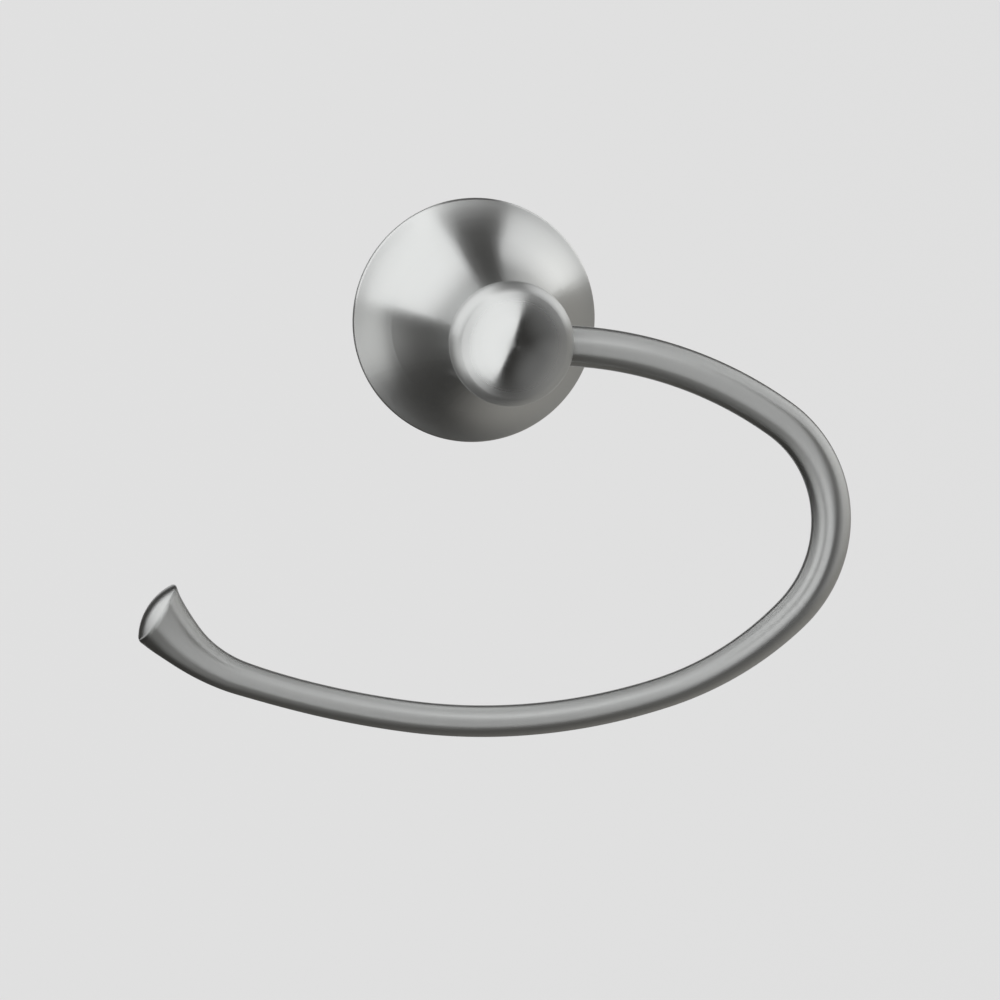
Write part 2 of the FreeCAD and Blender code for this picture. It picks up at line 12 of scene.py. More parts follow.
import bpy
import mathutils
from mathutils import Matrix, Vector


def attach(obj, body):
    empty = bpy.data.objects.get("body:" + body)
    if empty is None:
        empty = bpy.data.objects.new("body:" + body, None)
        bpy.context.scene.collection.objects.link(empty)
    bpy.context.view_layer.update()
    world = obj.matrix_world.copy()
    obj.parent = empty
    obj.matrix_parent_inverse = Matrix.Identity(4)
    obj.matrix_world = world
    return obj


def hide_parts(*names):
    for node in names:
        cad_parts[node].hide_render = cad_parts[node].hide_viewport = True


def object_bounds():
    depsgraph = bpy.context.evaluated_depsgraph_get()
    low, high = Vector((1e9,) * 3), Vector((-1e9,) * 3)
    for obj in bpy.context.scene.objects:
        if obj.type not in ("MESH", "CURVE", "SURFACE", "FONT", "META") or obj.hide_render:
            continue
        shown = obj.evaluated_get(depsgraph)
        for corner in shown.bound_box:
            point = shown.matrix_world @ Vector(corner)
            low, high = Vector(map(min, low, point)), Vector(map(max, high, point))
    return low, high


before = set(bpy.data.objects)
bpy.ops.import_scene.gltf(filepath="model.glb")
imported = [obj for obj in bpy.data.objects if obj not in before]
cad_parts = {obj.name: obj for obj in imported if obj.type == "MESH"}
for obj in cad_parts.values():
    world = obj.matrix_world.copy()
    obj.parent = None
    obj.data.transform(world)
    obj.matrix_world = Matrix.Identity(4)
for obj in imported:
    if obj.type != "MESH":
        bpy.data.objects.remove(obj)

cad_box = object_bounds()
MM = 0.001
print("pieces from the frame:", sorted(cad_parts))

# %% [markdown]
# ## Small helpers for node trees
#
# Materials and Geometry Nodes are both made of nodes and links. Writing each node by hand in a
# script is long, so these helpers make one node in one line: a value given by keyword is set on
# the input of that name, and a socket given by keyword is linked to it.

# %% Helpers: one line for one node


def connect(tree, socket, value):
    """Links another node's socket to this one, or sets a plain value on it."""
    if isinstance(value, bpy.types.NodeSocket):
        tree.links.new(value, socket)
    else:
        socket.default_value = value


def make_node(tree, kind, settings=None, **inputs):
    """Adds a node; settings are its own properties, inputs are values or sockets by name."""
    node = tree.nodes.new(kind)
    for name, value in (settings or {}).items():
        setattr(node, name, value)
    for name, value in inputs.items():
        connect(tree, node.inputs[name.replace("_", " ")], value)
    return node


def maths(tree, operation, *values):
    """A number worked out from others, as a socket."""
    node = make_node(tree, "ShaderNodeMath", {"operation": operation})
    for socket, value in zip(node.inputs, values):
        connect(tree, socket, value)
    return node.outputs[0]


def vector_maths(tree, operation, *values, output="Vector"):
    """A vector, or with output="Value" a number, worked out from vectors, as a socket."""
    node = make_node(tree, "ShaderNodeVectorMath", {"operation": operation})
    sockets = [s for s in node.inputs if s.type == "VECTOR"]
    for socket, value in zip(sockets, values):
        connect(tree, socket, value)
    return node.outputs[output]


def scaled(tree, vector, amount):
    """A vector made longer or shorter, as a socket."""
    node = make_node(tree, "ShaderNodeVectorMath", {"operation": "SCALE"})
    connect(tree, node.inputs[0], vector)
    connect(tree, node.inputs["Scale"], amount)
    return node.outputs[0]


print("node helpers ready: connect, make_node, maths, vector_maths, scaled")

# %% [markdown]
# ## The camera
#
# The photograph looks a little down and a little from the left, through a long lens: the round
# base is nearly a circle, and the head stands a little to the right of its middle. The distance
# comes from how much larger the head looks than it would from far away.

# %% Camera
VIEW_AZIMUTH = math.radians(-10.466)
VIEW_ELEVATION = math.radians(8.764)
VIEW_DISTANCE = 1.1
AIM = mathutils.Vector((-0.00043, -0.040, -0.04113))
LENS = 157.3
SENSOR = 36.0

camera_data = bpy.data.cameras.new("camera")
camera_data.lens = LENS
camera_data.sensor_width = SENSOR
camera = bpy.data.objects.new("camera", camera_data)
bpy.context.scene.collection.objects.link(camera)
towards_camera = mathutils.Vector((
    math.sin(VIEW_AZIMUTH) * math.cos(VIEW_ELEVATION),
    -math.cos(VIEW_AZIMUTH) * math.cos(VIEW_ELEVATION),
    math.sin(VIEW_ELEVATION),
))
camera.location = AIM + VIEW_DISTANCE * towards_camera
camera.rotation_mode = "QUATERNION"
camera.rotation_quaternion = (-towards_camera).to_track_quat("-Z", "Y")
bpy.context.scene.camera = camera
bpy.context.scene.view_settings.view_transform = "Standard"
print("camera stands at", [round(c, 3) for c in camera.location])

# %% [markdown]
# ## The bar: a grid wrapped round a path
#
# The real bar is drawn and bent rod: it stays round, thins from its root to the bottom, and is
# swaged out to a trumpet at the tip. Its shape follows a rule, so Geometry Nodes make it. A flat
# grid is the raw material. Its rows run along the bar's centre line and its columns run round
# it, so every row becomes a ring whose radius the rule gives. The last rows close the tip with a
# shallow dome. Sweeping a circle with Curve to Mesh would be shorter, but it can't lean the
# last rings back, and the real tip is cut at a slant.
#
# The centre line comes first. It lies in one plane, in front of the wall: a short straight root
# that starts inside the head, then six bends, each of which carries on from the one before. A
# bend is written as its name, its radius in millimetres and its turn in degrees.

# %% The bar's centre line: a straight root and six bends
LEAD_SLOPE = 5.5
LEAD_LENGTH = 18.6
ROOT_PAST_AXIS = 6.0
ARM_DEPTH = 47.5
BENDS = (
    ("shoulder", 105, 30.5),
    ("bow", 32.6, 100.1),
    ("haunch", 80.1, 27.7),
    ("sill", 147.4, 25.9),
    ("heel", 235, 10.5),
    ("toe", 40.8, 39),
)
STEP = 1.0


def centre_line():
    """Points of the bar's centre line in its own plane, about a millimetre apart."""
    heading = -math.radians(LEAD_SLOPE)
    across, up = math.cos(heading), math.sin(heading)
    length = LEAD_LENGTH + ROOT_PAST_AXIS
    count = round(length / STEP)
    places = [i * length / count - ROOT_PAST_AXIS for i in range(count + 1)]
    points = [(across * place, up * place) for place in places]
    for _name, radius, turn in BENDS:
        start = points[-1]
        centre = (start[0] + radius * math.sin(heading), start[1] - radius * math.cos(heading))
        count = math.ceil(radius * math.radians(turn) / STEP)
        for i in range(1, count + 1):
            angle = heading - math.radians(turn) * i / count
            points.append((
                centre[0] - radius * math.sin(angle),
                centre[1] + radius * math.cos(angle),
            ))
        heading -= math.radians(turn)
    return [(x * MM, -ARM_DEPTH * MM, z * MM) for x, z in points]


def poly_curve(name, points):
    """A curve object of straight steps through these points."""
    data = bpy.data.curves.new(name, "CURVE")
    data.dimensions = "3D"
    spline = data.splines.new("POLY")
    spline.points.add(len(points) - 1)
    for point, place in zip(spline.points, points):
        point.co = (*place, 1.0)
    return bpy.data.objects.new(name, data)


arm_line_points = centre_line()
arm_line = poly_curve("arm_line", arm_line_points)
bpy.context.scene.collection.objects.link(arm_line)
arm_length = sum(math.dist(a, b) for a, b in zip(arm_line_points, arm_line_points[1:]))
print(f"centre line: {len(arm_line_points)} points, {arm_length / MM:.1f} mm")

# %% [markdown]
# ### The sizes are the tree's inputs
#
# Each number of the rule is a named input of the tree, so it can be changed in the modifier. One
# column of the grid lies on the first again and is welded to it, so 73 columns make 72 faces
# round the bar.

# %% An empty tree with an input for each size
ARM_SIZES = {
    "Bar radius": 5.1 * MM,
    "Slim radius": 4 * MM,
    "Taper start": (94 + ROOT_PAST_AXIS) * MM,
    "Taper length": 82 * MM,
    "Flare length": 58 * MM,
    "Flare power": 4.5,
    "Tip radius": 8.45 * MM,
    "Tip cut": math.radians(24.5),
    "Cut length": 11 * MM,
    "Cap height": 2.6 * MM,
}
ARM_COUNTS = {"Rows": 330, "Cap rows": 10, "Columns": 73}


def new_tree(name, sizes, counts):
    """An empty Geometry Nodes tree: a geometry in and out, and an input for each number."""
    tree = bpy.data.node_groups.new(name, "GeometryNodeTree")
    tree.interface.new_socket("Geometry", in_out="OUTPUT", socket_type="NodeSocketGeometry")
    tree.interface.new_socket("Geometry", in_out="INPUT", socket_type="NodeSocketGeometry")
    for label in sizes:
        tree.interface.new_socket(label, in_out="INPUT", socket_type="NodeSocketFloat")
    for label in counts:
        tree.interface.new_socket(label, in_out="INPUT", socket_type="NodeSocketInt")
    tree.interface.new_socket("Finish", in_out="INPUT", socket_type="NodeSocketMaterial")
    return tree


bar_tree = new_tree("swept_bar", ARM_SIZES, ARM_COUNTS)
print("swept_bar tree:", len(ARM_SIZES), "sizes and", len(ARM_COUNTS), "counts to set")

# %% [markdown]
# ### Where each point of the grid belongs
#
# A point's row says how far along the bar it goes, and its column how far round. The first row
# shrinks to one point, which closes the root inside the head. The last rows don't go further
# along the line: they climb the tip's dome instead.

# %% Rows, stations and the dome's share


def grid_places(tree, inputs):
    """A flat grid of one by one, and for each of its points the row and the share round."""
    grid = make_node(
        tree,
        "GeometryNodeMeshGrid",
        Size_X=1.0,
        Size_Y=1.0,
        Vertices_X=inputs["Rows"],
        Vertices_Y=inputs["Columns"],
    )
    place = make_node(tree, "GeometryNodeInputPosition").outputs[0]
    parts = make_node(tree, "ShaderNodeSeparateXYZ", Vector=place)
    along = maths(tree, "ADD", parts.outputs["X"], 0.5)
    row = maths(tree, "MULTIPLY", along, maths(tree, "SUBTRACT", inputs["Rows"], 1.0))
    round_share = maths(tree, "ADD", parts.outputs["Y"], 0.5)
    return grid, row, round_share


def stations(tree, inputs, row):
    """How far along the bar a row stands, the bar's length, and how far up the dome it is."""
    rim_row = maths(tree, "SUBTRACT", inputs["Rows"], maths(tree, "ADD", inputs["Cap rows"], 1.0))
    share = maths(tree, "SUBTRACT", row, 1.0)
    share = maths(tree, "DIVIDE", share, maths(tree, "SUBTRACT", rim_row, 1.0))
    share = maths(tree, "MINIMUM", 1.0, maths(tree, "MAXIMUM", 0.0, share))
    length = make_node(tree, "GeometryNodeCurveLength", Curve=inputs["Geometry"]).outputs[0]
    station = maths(tree, "MULTIPLY", length, share)
    climb = maths(tree, "DIVIDE", maths(tree, "SUBTRACT", row, rim_row), inputs["Cap rows"])
    climb = maths(tree, "MAXIMUM", 0.0, climb)
    return station, length, climb


print("a grid of", ARM_COUNTS["Rows"], "by", ARM_COUNTS["Columns"], "points will be wrapped")

# %% [markdown]
# ### The rule for the radius
#
# The ring's radius is the slim radius, plus what is left of the root's extra thickness, plus the
# trumpet: a power of how far the ring is into the flared stretch. The dome is cut from a ball
# that is worked out from its height and its rim, so it always fits both.

# %% The bar's radius and the tip's dome


def smooth_share(tree, value, start, length):
    """0 before start, 1 after start + length, and an easy slope between."""
    node = make_node(tree, "ShaderNodeMapRange", {"interpolation_type": "SMOOTHSTEP"})
    connect(tree, node.inputs["Value"], value)
    connect(tree, node.inputs["From Min"], start)
    connect(tree, node.inputs["From Max"], maths(tree, "ADD", start, length))
    return node.outputs["Result"]


def bar_radius(tree, inputs, station, length):
    """The radius at a station: slim, with a thicker root and a trumpet at the end."""
    extra = maths(tree, "SUBTRACT", inputs["Bar radius"], inputs["Slim radius"])
    taper = smooth_share(tree, station, inputs["Taper start"], inputs["Taper length"])
    thick = maths(tree, "MULTIPLY", extra, maths(tree, "SUBTRACT", 1.0, taper))
    to_tip = maths(tree, "SUBTRACT", length, station)
    opened = maths(tree, "DIVIDE", to_tip, inputs["Flare length"])
    opened = maths(tree, "MAXIMUM", 0.0, maths(tree, "SUBTRACT", 1.0, opened))
    opened = maths(tree, "POWER", opened, inputs["Flare power"])
    widen = maths(tree, "SUBTRACT", inputs["Tip radius"], inputs["Slim radius"])
    flare = maths(tree, "MULTIPLY", widen, opened)
    return maths(tree, "ADD", inputs["Slim radius"], maths(tree, "ADD", thick, flare))


def dome_profile(tree, inputs, climb):
    """The dome's radius and its rise above the rim, for a share of the climb."""
    wide, high = inputs["Tip radius"], inputs["Cap height"]
    squares = maths(tree, "ADD", maths(tree, "POWER", wide, 2.0), maths(tree, "POWER", high, 2.0))
    ball = maths(tree, "DIVIDE", squares, maths(tree, "MULTIPLY", 2.0, high))
    edge_angle = maths(tree, "ARCSINE", maths(tree, "DIVIDE", wide, ball))
    angle = maths(tree, "MULTIPLY", edge_angle, maths(tree, "SUBTRACT", 1.0, climb))
    sunk = maths(tree, "SUBTRACT", ball, high)
    level = maths(tree, "MULTIPLY", ball, maths(tree, "COSINE", angle))
    rise = maths(tree, "SUBTRACT", level, sunk)
    return maths(tree, "MULTIPLY", ball, maths(tree, "SINE", angle)), rise


slim, tip = ARM_SIZES["Slim radius"] / MM, ARM_SIZES["Tip radius"] / MM
print(f"the trumpet opens from {slim:.1f} to {tip:.2f} mm radius")

# %% [markdown]
# ### Leaning rings
#
# A ring faces along the centre line, so its own sideways direction lies in the bar's plane and
# its other one is straight back to the wall. Behind the rim the rings lean back little by
# little, until the rim stands at its slant.

# %% Which way each ring faces
DEPTH_WAY = (0.0, 1.0, 0.0)


def ring_directions(tree, inputs, tangent, station, length):
    """Which way a ring faces, and its sideways direction in the plane of the bar."""
    forward = vector_maths(tree, "NORMALIZE", tangent)
    inward = vector_maths(tree, "CROSS_PRODUCT", DEPTH_WAY, forward)
    cut_start = maths(tree, "SUBTRACT", length, inputs["Cut length"])
    lean = smooth_share(tree, station, cut_start, inputs["Cut length"])
    lean = maths(tree, "MULTIPLY", lean, inputs["Tip cut"])
    cosine, sine = maths(tree, "COSINE", lean), maths(tree, "SINE", lean)
    facing = vector_maths(
        tree, "SUBTRACT", scaled(tree, forward, cosine), scaled(tree, inward, sine)
    )
    sideways = vector_maths(
        tree, "ADD", scaled(tree, inward, cosine), scaled(tree, forward, sine)
    )
    return facing, sideways


cut, cut_length = math.degrees(ARM_SIZES["Tip cut"]), ARM_SIZES["Cut length"] / MM
print(f"the rings lean back by {cut:.1f} degrees over the last {cut_length:.0f} mm")

# %% [markdown]
# ### How the tree ends
#
# A material can't know where a bent bar runs, so the tree writes what the finish needs on the
# mesh under names of their own. It welds the seam and the poles, so that the mesh is closed, and
# it ends with Realize Instances and Set Material, because the export drops what comes without.

# %% Helpers: named values on the mesh, and a closed end
WELD = 0.002 * MM


def store(tree, geometry, kind, domain, name, value):
    """Writes a value on every point or corner, under a name that a material can read."""
    node = make_node(tree, "GeometryNodeStoreNamedAttribute", {"data_type": kind, "domain": domain})
    connect(tree, node.inputs["Geometry"], geometry)
    connect(tree, node.inputs["Name"], name)
    connect(tree, node.inputs["Value"], value)
    return node.outputs["Geometry"]


def close_tree(tree, geometry, finish, weld):
    """Welds the seam and the poles, shades smooth, and ends as an exported tree has to."""
    merged = make_node(tree, "GeometryNodeMergeByDistance", Geometry=geometry, Distance=weld)
    smooth = make_node(tree, "GeometryNodeSetShadeSmooth", Geometry=merged.outputs[0])
    real = make_node(tree, "GeometryNodeRealizeInstances", Geometry=smooth.outputs[0])
    done = make_node(tree, "GeometryNodeSetMaterial", Geometry=real.outputs[0], Material=finish)
    make_node(tree, "NodeGroupOutput", Geometry=done.outputs[0])


print(f"points closer than {WELD / MM:.3f} mm are welded")

# %% [markdown]
# ### The whole rule
#
# Each point of the grid goes to its ring's middle, plus the ring's radius in its own direction.
# The turn round the bar runs backwards, which makes the faces point outwards. Three values are
# stored for the finish: grain is the direction of the scratches, streak is a place measured
# along and round the bar, and dome marks the end of the tip.

# %% Geometry Nodes: the swept bar


def fill_bar_tree(tree):
    """Puts the whole rule into the empty tree."""
    inputs = make_node(tree, "NodeGroupInput").outputs
    grid, row, round_share = grid_places(tree, inputs)
    station, length, climb = stations(tree, inputs, row)

    on_dome = maths(tree, "GREATER_THAN", climb, 0.0)
    dome_radius, rise = dome_profile(tree, inputs, climb)
    rise = maths(tree, "MULTIPLY", rise, on_dome)
    radius = make_node(
        tree,
        "ShaderNodeMix",
        {"data_type": "FLOAT"},
        Factor=on_dome,
        A=bar_radius(tree, inputs, station, length),
        B=dome_radius,
    ).outputs[0]
    not_root_pole = maths(tree, "GREATER_THAN", row, 0.5)
    radius = maths(tree, "MULTIPLY", radius, not_root_pole)

    sample = make_node(
        tree,
        "GeometryNodeSampleCurve",
        {"mode": "LENGTH", "use_all_curves": True},
        Curves=inputs["Geometry"],
        Length=station,
    ).outputs
    facing, sideways = ring_directions(tree, inputs, sample["Tangent"], station, length)
    turn = maths(tree, "MULTIPLY", round_share, -2 * math.pi)
    cosine, sine = maths(tree, "COSINE", turn), maths(tree, "SINE", turn)
    out = vector_maths(
        tree, "ADD", scaled(tree, sideways, cosine), scaled(tree, DEPTH_WAY, sine)
    )
    centre = vector_maths(tree, "ADD", sample["Position"], scaled(tree, facing, rise))
    place = vector_maths(tree, "ADD", centre, scaled(tree, out, radius))

    streak = make_node(
        tree,
        "ShaderNodeCombineXYZ",
        X=maths(tree, "MULTIPLY", radius, cosine),
        Y=maths(tree, "MULTIPLY", radius, sine),
        Z=maths(tree, "ADD", station, rise),
    ).outputs[0]
    grain = vector_maths(tree, "CROSS_PRODUCT", facing, out)
    straight = scaled(tree, vector_maths(tree, "SUBTRACT", DEPTH_WAY, grain), on_dome)
    grain = vector_maths(tree, "ADD", grain, straight)

    mesh = store(tree, grid.outputs["Mesh"], "FLOAT2", "CORNER", "UVMap", grid.outputs["UV Map"])
    mesh = store(tree, mesh, "FLOAT_VECTOR", "POINT", "streak", streak)
    mesh = store(tree, mesh, "FLOAT_VECTOR", "POINT", "grain", grain)
    mesh = store(tree, mesh, "FLOAT", "POINT", "dome", on_dome)
    moved = make_node(tree, "GeometryNodeSetPosition", Geometry=mesh, Position=place)
    close_tree(tree, moved.outputs[0], inputs["Finish"], WELD)


fill_bar_tree(bar_tree)
print("swept_bar tree:", len(bar_tree.nodes), "nodes")

# %% [markdown]
# ## Brushed metal
#
# The towel ring is plated in satin nickel and brushed with a belt while it turns, so fine
# scratches run round the post's axis and round the bar. Scratches spread a highlight across
# themselves and leave it sharp along themselves. That is why the base shows light and dark
# sectors, and why the bar shows one even grey with lines along it.
#
# The shader is anisotropic for this. Its tangent lies along the scratches, and its rotation of
# a quarter turn spreads the light across them. A noise that is stretched along the scratches
# makes them, as a faint bump and a small change of roughness.

# %% Helpers for a brushed finish
NICKEL = (0.59, 0.60, 0.595, 1.0)
QUARTER_TURN = 0.25
NOISE_DETAIL = 3.0
NOISE_RANGE = (0.3, 0.7)


def new_material(name, colour, roughness, anisotropic):
    """A metal with one colour; anisotropic is how strongly it is brushed.

    The roughness is the plain value, for a viewer that doesn't follow the nodes.
    """
    material = bpy.data.materials.new(name)
    material.use_nodes = True
    tree = material.node_tree
    shader = tree.nodes["Principled BSDF"]
    shader.inputs["Base Color"].default_value = colour
    shader.inputs["Metallic"].default_value = 1.0
    shader.inputs["Roughness"].default_value = roughness
    shader.inputs["Anisotropic"].default_value = anisotropic
    shader.inputs["Anisotropic Rotation"].default_value = QUARTER_TURN
    return material, tree, shader


def between(tree, value, start, end, first, last):
    """A number that goes from first to last while the value goes from start to end."""
    node = make_node(
        tree,
        "ShaderNodeMapRange",
        Value=value,
        From_Min=start,
        From_Max=end,
        To_Min=first,
        To_Max=last,
    )
    return node.outputs["Result"]


def scratches(tree, shader, where, depth, roughness, spread, normal=None):
    """Fine scratches along one direction: where is a vector that changes slowly along them.

    roughness is a number or a socket, and it wanders by the spread. The scratches are cut into
    the mesh's own normal unless another one is given.
    """
    noise = make_node(tree, "ShaderNodeTexNoise", Vector=where, Scale=1.0, Detail=NOISE_DETAIL)
    height = noise.outputs["Fac"]
    bump = make_node(tree, "ShaderNodeBump", Strength=1.0, Distance=depth, Height=height)
    if normal is not None:
        connect(tree, bump.inputs["Normal"], normal)
    connect(tree, shader.inputs["Normal"], bump.outputs["Normal"])
    change = between(tree, height, *NOISE_RANGE, -spread, spread)
    connect(tree, shader.inputs["Roughness"], maths(tree, "ADD", roughness, change))


print("finish helpers ready: new_material, between, scratches")

# %% [markdown]
# ### The post
#
# The post is turned and brushed round its axis, which is the Y axis, so the direction of the
# scratches is Y crossed with the place. The head's dome is smooth in the middle and duller at
# its rounded edge, where the belt only brushes past. The neck is the dullest, and the trunk a
# little less.
#
# The mesh from the frame has one poor normal at the very centre of the dome, and that mesh
# stays as it is. The dome is cut from a ball, so the material works out the ball's normal for
# the few millimetres round the centre.

# %% The post's finish
HEAD_FRONT = cad_box[0][1]
DOME_RADIUS = 38 * MM
DOME_MIDDLE = 0.2 * MM
POST_ROUGHNESS = 0.3
POST_BRUSHING = 0.65
POST_WANDER = 0.015
POST_SCRATCH_COUNT = 4000.0
POST_SCRATCH_DEPTH = 0.0006 * MM
ALONG_SCRATCH = 60.0
# Two slopes of the roughness: start and end behind the head's front, then the two roughnesses.
HEAD_FINISH = (0.5 * MM, 3.4 * MM, 0.12, 0.48)
TRUNK_FINISH = (6 * MM, 14 * MM, 0.5, 0.33)


def dome_normal(tree, place, share):
    """The normal of the ball that the head's dome is cut from, for this share of the surface."""
    ball = vector_maths(tree, "SUBTRACT", place, (0.0, HEAD_FRONT + DOME_RADIUS, 0.0))
    ball = make_node(
        tree,
        "ShaderNodeVectorTransform",
        {"vector_type": "NORMAL", "convert_from": "OBJECT", "convert_to": "WORLD"},
        Vector=vector_maths(tree, "NORMALIZE", ball),
    ).outputs[0]
    own = make_node(tree, "ShaderNodeNewGeometry").outputs["Normal"]
    change = scaled(tree, vector_maths(tree, "SUBTRACT", ball, own), share)
    return vector_maths(tree, "ADD", own, change)


def turned_nickel():
    """Brushed round the post's axis."""
    material, tree, shader = new_material("turned_nickel", NICKEL, POST_ROUGHNESS, POST_BRUSHING)
    place = make_node(tree, "ShaderNodeTexCoord").outputs["Object"]
    around = vector_maths(tree, "CROSS_PRODUCT", DEPTH_WAY, place)
    connect(tree, shader.inputs["Tangent"], vector_maths(tree, "NORMALIZE", around))
    parts = make_node(tree, "ShaderNodeSeparateXYZ", Vector=place).outputs
    flat = make_node(tree, "ShaderNodeCombineXYZ", X=parts["X"], Z=parts["Z"]).outputs[0]
    reach = vector_maths(tree, "LENGTH", flat, output="Value")
    where = make_node(
        tree,
        "ShaderNodeCombineXYZ",
        X=maths(tree, "MULTIPLY", reach, POST_SCRATCH_COUNT),
        Y=maths(tree, "MULTIPLY", parts["Y"], POST_SCRATCH_COUNT),
        Z=maths(tree, "MULTIPLY", parts["X"], ALONG_SCRATCH),
    ).outputs[0]
    behind_front = maths(tree, "SUBTRACT", parts["Y"], HEAD_FRONT)
    head = between(tree, behind_front, *HEAD_FINISH)
    trunk = between(tree, behind_front, *TRUNK_FINISH)
    finish = maths(tree, "MINIMUM", head, trunk)
    normal = dome_normal(tree, place, maths(tree, "LESS_THAN", behind_front, DOME_MIDDLE))
    scratches(tree, shader, where, POST_SCRATCH_DEPTH, finish, POST_WANDER, normal)
    return material


post_metal = turned_nickel()
print("made", post_metal.name, "with", len(post_metal.node_tree.nodes), "nodes")

# %% [markdown]
# ### The bar
#
# The bar bends, so no fixed axis fits it. Its mesh carries the direction of the scratches and a
# place that is measured along and round the bar, and the material reads both as attributes. The
# scratches cross the bar, which blurs what it reflects along its length. The tip's small dome is
# brushed straight across and smoother, so it shows one bright patch with a dark rim.

# %% The bar's finish
BAR_ROUGHNESS = 0.48
TIP_ROUGHNESS = 0.4
BAR_BRUSHING = 0.95
BAR_WANDER = 0.02
BAR_SCRATCH_DEPTH = 0.0002 * MM
BAR_SCRATCH_COUNT = 1500.0


def bar_nickel():
    """Brushed round the bar, wherever it bends."""
    material, tree, shader = new_material("bar_nickel", NICKEL, BAR_ROUGHNESS, BAR_BRUSHING)
    grain = make_node(tree, "ShaderNodeAttribute", {"attribute_name": "grain"})
    connect(tree, shader.inputs["Tangent"], grain.outputs["Vector"])
    streak = make_node(tree, "ShaderNodeAttribute", {"attribute_name": "streak"})
    counts = (ALONG_SCRATCH, ALONG_SCRATCH, BAR_SCRATCH_COUNT)
    where = vector_maths(tree, "MULTIPLY", streak.outputs["Vector"], counts)
    dome = make_node(tree, "ShaderNodeAttribute", {"attribute_name": "dome"}).outputs["Fac"]
    finish = between(tree, dome, 0.0, 1.0, BAR_ROUGHNESS, TIP_ROUGHNESS)
    scratches(tree, shader, where, BAR_SCRATCH_DEPTH, finish, BAR_WANDER)
    return material


bar_metal = bar_nickel()
print("made", bar_metal.name, "with", len(bar_metal.node_tree.nodes), "nodes")

# %% [markdown]
# ### The hidden pieces
#
# The wall bracket is zinc-plated and the two grub screws are plain steel. Nobody brushes them,
# so they have no anisotropy, and an even noise gives them a faint mottle.

# %% The hidden pieces' finish
MOTTLE_COUNT = 700.0
MOTTLE_DEPTH = 0.01 * MM
MOTTLE_WANDER = 0.08


def plain_steel(name, colour, roughness):
    """Zinc-plated or bare steel, with a faint mottle."""
    material, tree, shader = new_material(name, colour, roughness, 0.0)
    place = make_node(tree, "ShaderNodeTexCoord").outputs["Object"]
    where = scaled(tree, place, MOTTLE_COUNT)
    scratches(tree, shader, where, MOTTLE_DEPTH, roughness, MOTTLE_WANDER)
    return material


zinc = plain_steel("zinc_plate", (0.62, 0.63, 0.65, 1.0), 0.38)
screw_steel = plain_steel("screw_steel", (0.40, 0.40, 0.41, 1.0), 0.35)
print("made", zinc.name, "and", screw_steel.name)

# %% [markdown]
# ## From tree to piece
#
# The tree runs as a modifier. Its inputs are set by each socket's identifier, because names may
# repeat. The evaluated result is then copied into a plain mesh and the modifier is dropped, so
# the finished piece is an ordinary object at the origin. The sharp edge between trumpet and
# dome is rounded with a Bevel, as on the real tip, where an edge would tear a towel.

# %% Build the bar
RIM_ROUNDING = 0.74 * MM
RIM_SEGMENTS = 4
SHARP_ANGLE = math.radians(35)


def run_tree(tree, source, values):
    """The plain mesh that the tree makes from the source object's data."""
    modifier = source.modifiers.new(tree.name, "NODES")
    modifier.node_group = tree
    sockets = {s.name: s.identifier for s in tree.interface.items_tree if s.in_out == "INPUT"}
    for label, value in values.items():
        modifier[sockets[label]] = value
    bpy.context.view_layer.update()
    depsgraph = bpy.context.evaluated_depsgraph_get()
    mesh = bpy.data.meshes.new_from_object(source.evaluated_get(depsgraph))
    source.modifiers.remove(modifier)
    return mesh


bar_mesh = run_tree(bar_tree, arm_line, {**ARM_SIZES, **ARM_COUNTS, "Finish": bar_metal})
bpy.data.objects.remove(arm_line)
bar_mesh.materials.clear()
bar_mesh.materials.append(bar_metal)
arm = bpy.data.objects.new("arm_bar", bar_mesh)
bpy.context.scene.collection.objects.link(arm)
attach(arm, "root")
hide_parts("arm")
rounding = arm.modifiers.new("rim_rounding", "BEVEL")
rounding.limit_method = "ANGLE"
rounding.angle_limit = SHARP_ANGLE
rounding.width = RIM_ROUNDING
rounding.segments = RIM_SEGMENTS
print(f"{arm.name}: {len(bar_mesh.polygons)} faces before its rim is rounded")

# %% [markdown]
# ## The pieces that stay as they are
#
# The post, the bracket and the screws come from the frame with the right shape. They only get a
# better material in their own slots.

# %% Dress the pieces from the frame
for node, finish in (
    ("post", post_metal),
    ("wall_bracket", zinc),
    ("set_screw", screw_steel),
    ("arm_lock_screw", screw_steel),
):
    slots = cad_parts[node].data.materials
    for i in range(len(slots)):
        slots[i] = finish
    print("dressed", node, "in", finish.name)

# %% [markdown]
# ## Floor and backdrop
#
# The object hangs in front of a pale sweep: one sheet that is the floor and bends up into the
# backdrop, with no corner to see. It stands well behind the object and is only as wide as the
# picture needs, because a wider one would fill the metal with its own pale colour. A share of
# its brightness is a glow that cameras and reflections see, so that it looks evenly pale without
# more light on the object. The rest is ordinary paper, which takes a shadow.

# %% Studio sweep
PALE = 0.745
GLOW = 1.05
GLOW_SHARE = 0.9
PAPER_ROUGHNESS = 0.9
FLOOR_LEVEL, SWEEP_TOP = -0.62, 0.55
SWEEP_NEAR, SWEEP_BACK = 0.9, 1.9
SWEEP_SIDES = (-0.35, 1.0)
SWEEP_BEND = 0.5
BEND_STEPS = 12


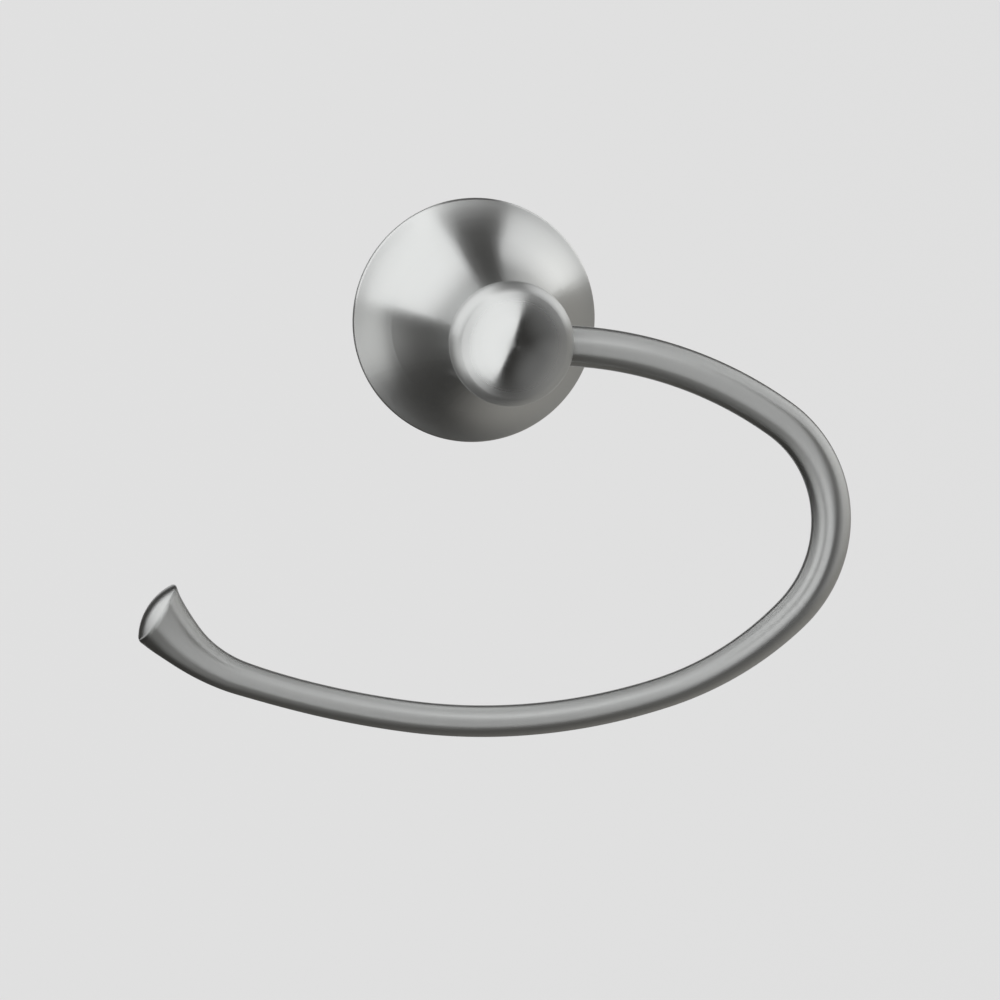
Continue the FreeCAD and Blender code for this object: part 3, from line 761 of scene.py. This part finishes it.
def sweep_material():
    """Pale paper that looks the same to the camera and to metal, and still takes a shadow."""
    material = bpy.data.materials.new("sweep_paper")
    material.use_nodes = True
    tree = material.node_tree
    shader = tree.nodes["Principled BSDF"]
    shader.inputs["Base Color"].default_value = (PALE, PALE, PALE, 1.0)
    shader.inputs["Roughness"].default_value = PAPER_ROUGHNESS
    light_path = make_node(tree, "ShaderNodeLightPath").outputs
    seen = maths(tree, "MAXIMUM", light_path["Is Camera Ray"], light_path["Is Glossy Ray"])
    seen = maths(tree, "MAXIMUM", seen, light_path["Is Transmission Ray"])
    glow = make_node(tree, "ShaderNodeEmission", Color=(PALE, PALE, PALE, 1.0), Strength=GLOW)
    mix = make_node(tree, "ShaderNodeMixShader")
    connect(tree, mix.inputs[0], maths(tree, "MULTIPLY", seen, GLOW_SHARE))
    connect(tree, mix.inputs[1], shader.outputs[0])
    connect(tree, mix.inputs[2], glow.outputs[0])
    connect(tree, tree.nodes["Material Output"].inputs["Surface"], mix.outputs[0])
    return material


def sweep_sheet():
    """One sheet: level floor, a round bend and an upright back."""
    bend_start = SWEEP_BACK - SWEEP_BEND
    line = [(SWEEP_NEAR, FLOOR_LEVEL), (bend_start, FLOOR_LEVEL)]
    for i in range(1, BEND_STEPS + 1):
        angle = math.radians(90 * i / BEND_STEPS)
        line.append((
            bend_start + SWEEP_BEND * math.sin(angle),
            FLOOR_LEVEL + SWEEP_BEND * (1 - math.cos(angle)),
        ))
    line.append((SWEEP_BACK, SWEEP_TOP))
    points = [(x, y, z) for y, z in line for x in SWEEP_SIDES]
    faces = [(2 * i, 2 * i + 1, 2 * i + 3, 2 * i + 2) for i in range(len(line) - 1)]
    mesh = bpy.data.meshes.new("studio_sweep")
    mesh.from_pydata(points, [], faces)
    mesh.materials.append(sweep_material())
    for face in mesh.polygons:
        face.use_smooth = True
    sheet = bpy.data.objects.new("studio_sweep", mesh)
    bpy.context.scene.collection.objects.link(sheet)
    return sheet


sweep = sweep_sheet()
print("sweep has", len(sweep.data.polygons), "faces")

# %% [markdown]
# ## Lamps
#
# Brushed metal shows its surroundings, so the light is made of things worth reflecting: three
# large soft panels. The tall one in front on the left fills the left half of the head. The big
# one at the upper left lights the left sector of the base, and the one at the upper right its
# right sector. The dark sector at the top is the gap between the last two.
#
# Directions are written as the metal sees them. The first angle goes round the post, counted
# from the right-hand side over the top. The second leans away from the way to the front.

# %% Soft panels
# Name, the two angles, distance, width, height, roll, and how bright its face looks.
PANELS = (
    ("front_left_panel", 142, 14, 1.5, 1.15, 2.8, -18, 1.25),
    ("side_panel", 136, 92, 1.3, 2.7, 1.9, 0, 1.3),
    ("upper_right_panel", 38, 94, 1.5, 2.1, 1.45, 0, 1.1),
)


def direction(around, off_axis):
    """A unit vector: around is counted from +X towards +Z, off_axis from the way to the front."""
    around, off_axis = math.radians(around), math.radians(off_axis)
    return mathutils.Vector((
        math.cos(around) * math.sin(off_axis),
        -math.cos(off_axis),
        math.sin(around) * math.sin(off_axis),
    ))


def panel(name, around, off_axis, distance, width, height, roll, glow):
    """A soft panel that faces the object; glow is how bright its face looks."""
    way = direction(around, off_axis)
    data = bpy.data.lights.new(name, "AREA")
    data.shape = "RECTANGLE"
    data.size, data.size_y = width, height
    data.energy = glow * math.pi * width * height
    lamp = bpy.data.objects.new(name, data)
    lamp.location = AIM + way * distance
    lamp.rotation_mode = "QUATERNION"
    turn = mathutils.Quaternion((0.0, 0.0, 1.0), math.radians(roll))
    lamp.rotation_quaternion = (-way).to_track_quat("-Z", "Y") @ turn
    lamp.visible_camera = False
    bpy.context.scene.collection.objects.link(lamp)
    return lamp


for settings in PANELS:
    lamp = panel(*settings)
    print(f"{lamp.name}: {lamp.data.energy:.1f} W")

# %% [markdown]
# ## The air of the studio
#
# Where metal sees no panel it sees the room. The room is dark grey, which gives the metal its
# dark edges, with a few soft, lighter sides where a wall or a table would send light back. Each
# side is full within its inner angle and fades out at its outer one.

# %% World
AIR = (0.042, 0.04, 0.038)
# The two angles of the direction, the inner and the outer angle, and the colour it adds.
AIR_SIDES = (
    (335, 110, 30, 75, (0.34, 0.33, 0.31)),
    (20, 50, 10, 35, (0.12, 0.12, 0.12)),
    (197, 70, 10, 32, (0.85, 0.85, 0.84)),
    (320, 45, 5, 30, (0.16, 0.16, 0.16)),
    (90, 55, 5, 30, (0.2, 0.2, 0.2)),
)


def studio_air():
    """The world: dark grey air with a few soft, lighter sides."""
    world = bpy.data.worlds.new("studio_air")
    world.use_nodes = True
    tree = world.node_tree
    way = make_node(tree, "ShaderNodeTexCoord").outputs["Generated"]
    total = AIR
    for around, off_axis, inner, outer, colour in AIR_SIDES:
        side_way = tuple(direction(around, off_axis))
        share = make_node(
            tree,
            "ShaderNodeMapRange",
            {"interpolation_type": "SMOOTHSTEP"},
            Value=vector_maths(tree, "DOT_PRODUCT", way, side_way, output="Value"),
            From_Min=math.cos(math.radians(outer)),
            From_Max=math.cos(math.radians(inner)),
        ).outputs["Result"]
        total = vector_maths(tree, "ADD", total, scaled(tree, colour, share))
    connect(tree, tree.nodes["Background"].inputs["Color"], total)
    return world


bpy.context.scene.world = studio_air()
print("the air has", len(AIR_SIDES), "lighter sides")
